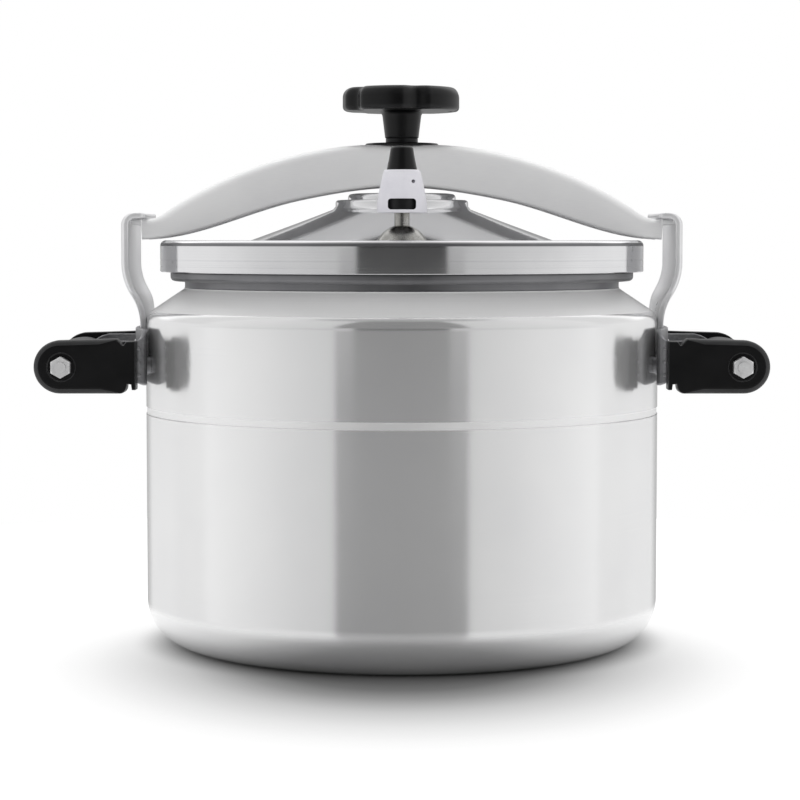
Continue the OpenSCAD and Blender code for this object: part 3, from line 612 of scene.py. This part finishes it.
for side, name in ((-1, "left"), (1, "right")):
    makePiece("bracketPressed_" + name, bracketShape(), tumbledSteel, "pot",
              ["bracket_" + name], flip=(side, 1))
    makePiece("bracketRibs_" + name, ribsShape(), tumbledSteel, "pot", flip=(side, 1))
print("brackets pressed")


# Cheeks: moulded plates with a rounded border and a sinking for the nut
cheek = {"thick": 10.5, "height": 28, "inner": 139.8, "boltX": 179, "boltZ": -51, "round": 3.2,
         "sinkingRadius": 7.6, "sinkingDeep": 1.2, "face": 52.52}


def cheekShape():
    c = cheek
    z = rim + c["boltZ"]
    r = c["height"] / 2
    top, low, x = z + r, z - r, c["inner"]
    line = arc(c["boltX"] + 0.8, z, r, -90, 90, 40)
    line += [(x + 39.2 - 10 * k, top + 0.3 * k) for k in range(1, 3)]
    line += arc(x + 10.4, top - 0.1, 1, 90, 150, 3) + [(x + 6.9, top - 2.4), (x + 6.5, top - 2.4)]
    line += [(x + 4.9, top - 0.4)] + arc(x + 0.8, top - 1.1, 0.8, 90, 180, 4)
    line += arc(x + 0.8, low + 2.6, 0.8, 180, 270, 4) + [(x + 2.3, low + 1.9), (x + 2.7, low + 4.8)]
    line += [(x + 4.7, low + 5)] + arc(x + 8.6, low + 3.7, 3.7, 180, 270, 8)
    line += [(x + 8.6 + 10 * k, low) for k in range(1, 4)]
    count = len(line)
    normals = []
    for i in range(count):
        a, b = line[i - 1], line[(i + 1) % count]
        length = math.dist(a, b)
        normals.append(((b[1] - a[1]) / length, -(b[0] - a[0]) / length))
    # the edge is fully rounded from the tip to the notch, and only broken near the notch
    weights = [0.16 + 0.84 * smoothStep(x + 9, x + 16, p[0]) for p in line]

    def ring(inset, y):
        return [(p[0] - n[0] * inset * w, y, p[1] - n[1] * inset * w)
                for p, n, w in zip(line, normals, weights)]

    face, thick, big = c["face"], c["thick"], c["round"]
    rings = [ring(1.2, -face), ring(0.3, -face - 0.15), ring(0, -face - 0.8)]
    rings.append(ring(0, -face - thick + big + 0.6))
    for k in range(9):
        a = math.radians(90 * k / 8)
        rings.append(ring(big * (1 - math.cos(a)), -face - thick + big - big * math.sin(a)))
    rings.append(ring(big + 0.8, -face - thick))
    return skin(rings, caps=True)


outer = cheek["face"] + cheek["thick"]
sunk, wide = outer - cheek["sinkingDeep"], cheek["sinkingRadius"]
# the bolt's hole and the nut's sinking, as (depth, radius)
sinking = ((outer - 11, 3.2), (sunk, 3.2), (sunk, wide - 0.5), (sunk + 0.4, wide),
           (outer - 0.3, wide), (outer + 0.3, wide + 0.5))
for side, name in ((-1, "left"), (1, "right")):
    for face, end in ((1, "front"), (-1, "rear")):
        piece = makePiece("cheekMoulded_%s_%s" % (name, end), cheekShape(), mouldedPhenolic, "pot",
                          ["cheek_%s_%s" % (name, end)], flip=(side, face))
        rings = [[(side * (cheek["boltX"] + r * c), -face * y, rim + cheek["boltZ"] + r * s)
                  for c, s in circle(64)] for y, r in sinking]
        cutOut(piece, skin(rings, caps=True))
        # the rounded border takes the paler copy: a painted sheen
        piece.data.materials.append(sheenBorder)
        for part in piece.data.polygons:
            border = abs(part.center.y) > (outer - cheek["round"]) * mm
            if border and 0.12 < -face * part.normal.y < 0.985:
                part.material_index = 1
print("cheeks moulded")


# Knob: lobed wheel on a tapered hub; heights count from the rim
knob = {
    "radius": 32.3, "lobes": 5, "valleyTurn": -74.5, "valleyDeep": 3.8, "valleyHalf": 15.5,
    "low": 85.8, "top": 98.6, "underRound": 2.4, "topRound": 5.2, "hubLow": 71.2, "bore": 6.05,
    "count": 240,
}


def knobShape():
    k = knob
    low, top, hub = rim + k["low"], rim + k["top"], rim + k["hubLow"]

    def wheelRadius(angle):
        step = 360 / k["lobes"]
        off = abs((angle - k["valleyTurn"] + step / 2) % step - step / 2)
        dip = math.cos(math.pi / 2 * min(1.0, off / k["valleyHalf"])) ** 2
        return k["radius"] - k["valleyDeep"] * dip

    # a ring of radius r, or with a share of the lobed outline, set in by inset
    def ring(z, r=0, lobed=0, inset=0):
        out = []
        for i, (c, s) in enumerate(circle(k["count"])):
            radius = r * (1 - lobed) + (wheelRadius(360 * i / k["count"]) - inset) * lobed
            out.append((radius * c, radius * s, z))
        return out

    bore, under, crown = k["bore"], k["underRound"], k["topRound"]
    rings = [[(0, 0, top - 5)], ring(top - 5, bore - 0.3), ring(top - 5.3, bore), ring(hub + 0.3, bore)]
    rings += [ring(hub, bore + 0.3), ring(hub, 8.7), ring(hub + 0.15, 9.05), ring(hub + 0.5, 9.22)]
    rings += [ring(hub + 1 + (low - hub - 4) * i / 4, 9.25 + 1.3 * i / 4) for i in range(5)]
    rings += [ring(low - 3 + 3 * math.sin(a), 10.6 + 3 * (1 - math.cos(a)))
              for a in [math.radians(90 * i / 6) for i in range(1, 7)]]
    rings += [ring(low, 18, 0.2), ring(low, 24, 0.6), ring(low, lobed=1, inset=under + 0.8)]
    rings += [ring(low + under - under * math.cos(a), lobed=1, inset=under - under * math.sin(a))
              for a in [math.radians(90 * i / 5) for i in range(6)]]
    rings += [ring(low + under + 0.8, lobed=1), ring(top - crown - 0.8, lobed=1)]
    rings += [ring(top - crown + crown * math.sin(a), lobed=1, inset=crown - crown * math.cos(a))
              for a in [math.radians(90 * i / 8) for i in range(9)]]
    rings += [ring(top - 0.1, lobed=1, inset=crown + 1.5), ring(top - 0.5, 22, 0.5), ring(top - 0.7, 16, 0.1)]
    rings += [ring(top - 0.7, 13.6), ring(top - 0.8, 13.2), ring(top - 1.2, 13.08)]
    rings += [ring(top - 3, 13.08), [(0, 0, top - 3)]]
    return skin(rings)


makePiece("knobMoulded", knobShape(), edgeLitPhenolic, "screw", ["knob"], sharp=50)
print("knob moulded")


# Spindle: rolled thread, collar and shank; heights count from the rim
spindle = {"radius": 7, "pitch": 2, "deep": 0.55, "plate": 41, "low": 49.2, "threadHigh": 67.6,
           "collarLow": 68.6, "collarHigh": 71.2, "collar": 8.8, "shank": 6, "top": 93.6, "count": 96}


def spindleShape():
    s = spindle
    foot, plate, collar = rim + s["low"], rim + s["plate"], rim + s["collarLow"]
    around = circle(s["count"])

    def plain(z, r):
        return [(r * cos, r * sin, z) for cos, sin in around]

    rings = [[(0, 0, plate + 0.8)]]
    rings += [plain(plate + dz, r) for dz, r in ((0.8, 3.9), (1.4, 4.5), (1.8, 4.5),
                                                 (1.8, 3.5), (3, 3.5), (3, 4.5))]
    rings += [plain(foot - 0.65, 4.5), plain(foot - 0.65, s["shank"])]
    for j in range(int((s["threadHigh"] - s["low"]) / 0.2) + 1):
        z = foot + 0.2 * j
        fade = smoothStep(foot, foot + 1.2, z)
        ring = []
        for i, (cos, sin) in enumerate(around):
            phase = ((z - foot) / s["pitch"] - i / s["count"]) % 1
            cut = s["deep"] * smoothStep(0.18, 0.42, abs(phase - 0.5) * 2 if phase else 1)
            r = (s["radius"] - cut) * fade + (s["radius"] - 1) * (1 - fade)
            ring.append((r * cos, r * sin, z))
        rings.append(ring)
    rings += [plain(rim + s["threadHigh"] + 0.2, s["radius"]), plain(collar, s["radius"])]
    rings += [plain(collar, s["collar"] - 0.3), plain(collar + 0.3, s["collar"])]
    rings += [plain(collar + 2.3, s["collar"]), plain(collar + 2.6, s["collar"] - 0.3)]
    rings += [plain(collar + 2.6, s["shank"]), plain(rim + s["top"] - 0.4, s["shank"])]
    rings += [plain(rim + s["top"], s["shank"] - 0.4), [(0, 0, rim + s["top"])]]
    return skin(rings)


spindleThreaded = makePiece("spindleThreaded", spindleShape(), nickelPlate, "screw",
                            ["spindle"])
spindleThreaded.data.materials.append(darkSteel)
# the collar is coloured dark
for face in spindleThreaded.data.polygons:
    if (rim + spindle["collarLow"] - 0.9) * mm < face.center.z < (rim + spindle["collarHigh"] + 0.3) * mm:
        face.material_index = 1


# Coil spring of the safety valve; heights count from the rim
coil = {"radius": 4.2, "wire": 0.7, "low": 20, "high": 32, "turns": 5.5, "steps": 220, "valveY": 86}


def coilShape():
    c = coil
    rings = []
    for i in range(c["steps"] + 1):
        t = i / c["steps"]
        a = 2 * math.pi * c["turns"] * t
        z = rim + c["low"] + c["wire"] + (c["high"] - c["low"] - 2 * c["wire"]) * smoothStep(0, 1, t)
        rings.append([((c["radius"] + c["wire"] * cos) * math.cos(a),
                       c["valveY"] + (c["radius"] + c["wire"] * cos) * math.sin(a), z + c["wire"] * sin)
                      for cos, sin in circle(12)])
    return skin(rings, caps=True)


coilPiece = makePiece("safetyCoil", coilShape(), drawnWire, "lid", ["safety_spring"])
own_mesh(coilPiece)

# dark sleeve inside the weight, a painted shade: it closes the weight's windows from inside so they show dark
shadeSleeve = {"radius": 10.2, "wall": 0.8, "low": 30.2, "high": 37.4, "valveY": -86}
sleeveTop, sleeveLow = rim + shadeSleeve["high"], rim + shadeSleeve["low"]
sleeveInside = shadeSleeve["radius"] - shadeSleeve["wall"]
sleeveProfile = [(shadeSleeve["radius"], sleeveLow), (shadeSleeve["radius"], sleeveTop),
                 (sleeveInside, sleeveTop), (sleeveInside, sleeveLow)]
makePiece("paintedShadeSleeve", turned(sleeveProfile, 72, (0, shadeSleeve["valveY"]), loop=True), darkSteel,
          "weight")
print("spindle, spring and baffle made")


# Floor, lamp and belt of soft light: floor in mm, lamp in metres and watts, belt in degrees of height
studio = {
    "floorRadius": 620, "floorInner": 200, "floorGap": 0.05, "floorSteps": 96, "shadeAhead": 60,
    "shadeStretch": 1.36, "shadeReach": 300, "seenFrom": 150, "seenTo": 230, "contactFrom": 114,
    "contactTo": 150, "lampHeight": 1.5, "lampBack": 0.95, "lampWidth": 1.4, "lampDepth": 1.75,
    "lampPower": 20, "beltFrom": 18.0, "beltTo": 34.0, "beltBright": 1.15, "beltDim": 0.42,
}

floorMesh = bpy.data.meshes.new("floor")
floorLine = [(r, -studio["floorGap"]) for r in (0, studio["floorInner"], studio["floorRadius"])]
floorShape = turned(floorLine, studio["floorSteps"])
floorMesh.from_pydata([(x * mm, y * mm, z * mm) for x, y, z in floorShape[0]], [], floorShape[1])
floor = addObject("floor", floorMesh)
# White acrylic sheet, matt on top, with a painted glow round the pot: the glow's dark middle is a painted
# shadow under and ahead of the pot, and it fades to white outwards; the pot mirrors only the part that is
# near it
acrylic = makeFinish("frostedAcrylic", "8a8a8a", "868686", 0.0, (0.85, 0.95), 300, 1.0,
                     (0.02, 0.01), specular=0.2)
floorMesh.materials.append(acrylic)
tree = acrylic.node_tree
shader = next(n for n in tree.nodes if n.type == "BSDF_PRINCIPLED")
final = next(n for n in tree.nodes if n.type == "OUTPUT_MATERIAL")
place = addNode(tree, "ShaderNodeTexCoord").outputs["Object"]
moved = addNode(tree, "ShaderNodeVectorMath", {"operation": "MULTIPLY_ADD"}, {
    0: place, 1: (studio["shadeStretch"], 1, 1), 2: (0, studio["shadeAhead"] * mm, 0)}).outputs["Vector"]
away = addNode(tree, "ShaderNodeVectorMath", {"operation": "LENGTH"}, {0: moved}).outputs["Value"]
reach = addNode(tree, "ShaderNodeMapRange", {}, {
    "Value": away, "From Max": studio["shadeReach"] * mm}).outputs[0]
# painted shadow: the glow is dark near the pot, reaches further ahead of it than to the sides, and fades to
# white
shadowRamp = addNode(tree, "ShaderNodeValToRGB", {"stops": [
    (0.27, 0.0), (0.33, 0.03), (0.41, 0.16), (0.52, 0.42),
    (0.64, 0.62), (0.75, 0.76), (0.86, 0.84), (1.0, 0.92)]}, {"Fac": reach}).outputs["Color"]
tree.links.new(shadowRamp, shader.inputs["Emission Color"])
radius = addNode(tree, "ShaderNodeVectorMath", {"operation": "LENGTH"}, {0: place}).outputs["Value"]
# painted contact shadow: no glow where the pot stands on the sheet
contactShade = addNode(tree, "ShaderNodeMapRange", {"interpolation_type": "SMOOTHSTEP"}, {
    "Value": radius, "From Min": studio["contactFrom"] * mm, "From Max": studio["contactTo"] * mm}).outputs[0]
tree.links.new(contactShade, shader.inputs["Emission Strength"])
far = addNode(tree, "ShaderNodeMapRange", {"interpolation_type": "SMOOTHSTEP"}, {
    "Value": radius, "From Min": studio["seenFrom"] * mm, "From Max": studio["seenTo"] * mm}).outputs[0]
mirrored = addNode(tree, "ShaderNodeLightPath").outputs["Is Glossy Ray"]
gone = addNode(tree, "ShaderNodeMath", {"operation": "MULTIPLY"}, {0: far, 1: mirrored}).outputs[0]
clear = addNode(tree, "ShaderNodeBsdfTransparent").outputs["BSDF"]
mix = addNode(tree, "ShaderNodeMixShader", {}, {
    0: gone, 1: shader.outputs["BSDF"], 2: clear}).outputs["Shader"]
tree.links.new(mix, final.inputs["Surface"])

lampData = bpy.data.lights.new("overheadBox", "AREA")
lampData.shape = "RECTANGLE"
lampData.size = studio["lampWidth"]
lampData.size_y = studio["lampDepth"]
lampData.energy = studio["lampPower"]
lamp = addObject("overheadBox", lampData)
lamp.location = (0, studio["lampBack"], studio["lampHeight"])
lamp.visible_glossy = False
lamp.visible_camera = False

# Studio round the object, by direction: a dark gap on the camera's side, softboxes left and right of it,
# a wall behind that darkens in its middle, and a ceiling that is brightest at the back corners. The bands
# are for reflections; soft light comes from a belt round the horizon.
world = bpy.data.worlds.new("studio")
bpy.context.scene.world = world
world.use_nodes = True
tree = world.node_tree
tree.nodes.clear()
direction = addNode(tree, "ShaderNodeTexCoord").outputs["Generated"]
split = addNode(tree, "ShaderNodeSeparateXYZ", {}, {"Vector": direction})
toFront = addNode(tree, "ShaderNodeMath", {"operation": "MULTIPLY"}, {
    0: split.outputs["Y"], 1: -1.0}).outputs[0]
bearing = addNode(tree, "ShaderNodeMath", {"operation": "ARCTAN2"}, {
    0: split.outputs["X"], 1: toFront}).outputs[0]
bearing = addNode(tree, "ShaderNodeMath", {"operation": "ABSOLUTE"}, {0: bearing}).outputs[0]
bearing = addNode(tree, "ShaderNodeMath", {"operation": "DIVIDE"}, {0: bearing, 1: math.pi}).outputs[0]
rise = addNode(tree, "ShaderNodeMath", {"operation": "ARCSINE"}, {0: split.outputs["Z"]}).outputs[0]
rise = addNode(tree, "ShaderNodeMath", {"operation": "MULTIPLY"}, {0: rise, 1: 180 / math.pi}).outputs[0]

# shade by bearing from the front in degrees, for bands of height; each starts where its two heights say
bands = [
    (None, [(0, 0.05), (180, 0.10)]),
    ((-70, -52), [(0, 0.33), (28.5, 0.36), (30, 0.80), (180, 0.90)]),
    ((-14, -10), [(0, 0.19), (28.3, 0.21), (29.6, 0.58), (47, 0.65), (61, 0.74), (77, 0.82), (94, 0.90),
                  (100, 0.81), (116, 0.81), (124, 0.84), (150, 0.82), (160, 0.50), (180, 0.36)]),
    ((-1.5, -0.8), [(0, 0.02), (20.2, 0.03), (21.2, 0.46), (50, 0.58), (76, 0.67), (98, 0.80), (114, 0.82),
                    (150, 0.84), (160, 0.45), (180, 0.30)]),
    ((10, 16), [(0, 0.12), (28, 0.14), (31, 0.58), (60, 0.66), (97, 0.80), (101, 0.72), (126, 0.74),
                (138, 1.2), (150, 1.2), (165, 0.85), (180, 0.75)]),
    ((60, 70), [(0, 0.30), (75, 0.35), (100, 0.70), (122, 0.85), (134, 1.25), (150, 1.1), (168, 0.60),
                (180, 0.50)]),
]
mixed = None
for edge, stops in bands:
    shade = addNode(tree, "ShaderNodeValToRGB", {"stops": [(a / 180, v) for a, v in stops]},
                    {"Fac": bearing}).outputs["Color"]
    if edge:
        share = addNode(tree, "ShaderNodeMapRange", {"interpolation_type": "SMOOTHSTEP"}, {
            "Value": rise, "From Min": float(edge[0]), "From Max": float(edge[1])}).outputs[0]
        shade = addNode(tree, "ShaderNodeMix", {"data_type": "RGBA"}, {
            0: share, 6: mixed, 7: shade}).outputs[2]
    mixed = shade
level = addNode(tree, "ShaderNodeMath", {"operation": "ABSOLUTE"}, {0: rise}).outputs[0]
belt = addNode(tree, "ShaderNodeMapRange", {"interpolation_type": "SMOOTHSTEP"}, {
    "Value": level, "From Min": studio["beltFrom"], "From Max": studio["beltTo"],
    "To Min": studio["beltBright"], "To Max": studio["beltDim"]}).outputs[0]
path = addNode(tree, "ShaderNodeLightPath")
spread = addNode(tree, "ShaderNodeMix", {"data_type": "RGBA"}, {
    0: path.outputs["Is Diffuse Ray"], 6: mixed, 7: belt}).outputs[2]
seen = addNode(tree, "ShaderNodeMix", {"data_type": "RGBA"}, {
    0: path.outputs["Is Camera Ray"], 6: spread, 7: (1, 1, 1, 1)}).outputs[2]
sky = addNode(tree, "ShaderNodeBackground", {}, {"Color": seen, "Strength": 1.0})
addNode(tree, "ShaderNodeOutputWorld", {}, {"Surface": sky.outputs["Background"]})

# Camera: place in metres, pitch in degrees, lens in mm
view = {"distance": 1.35, "aside": -0.001, "height": 0.2202, "pitch": 3.729, "lens": 110.475}
cameraData = bpy.data.cameras.new("camera")
cameraData.sensor_width = 36
cameraData.lens = view["lens"]
cameraData.clip_end = 50
camera = addObject("camera", cameraData)
camera.location = (view["aside"], -view["distance"], view["height"])
camera.rotation_euler = (math.radians(90 - view["pitch"]), 0, 0)
bpy.context.scene.camera = camera
bpy.context.scene.view_settings.view_transform = "Standard"
print("studio set")
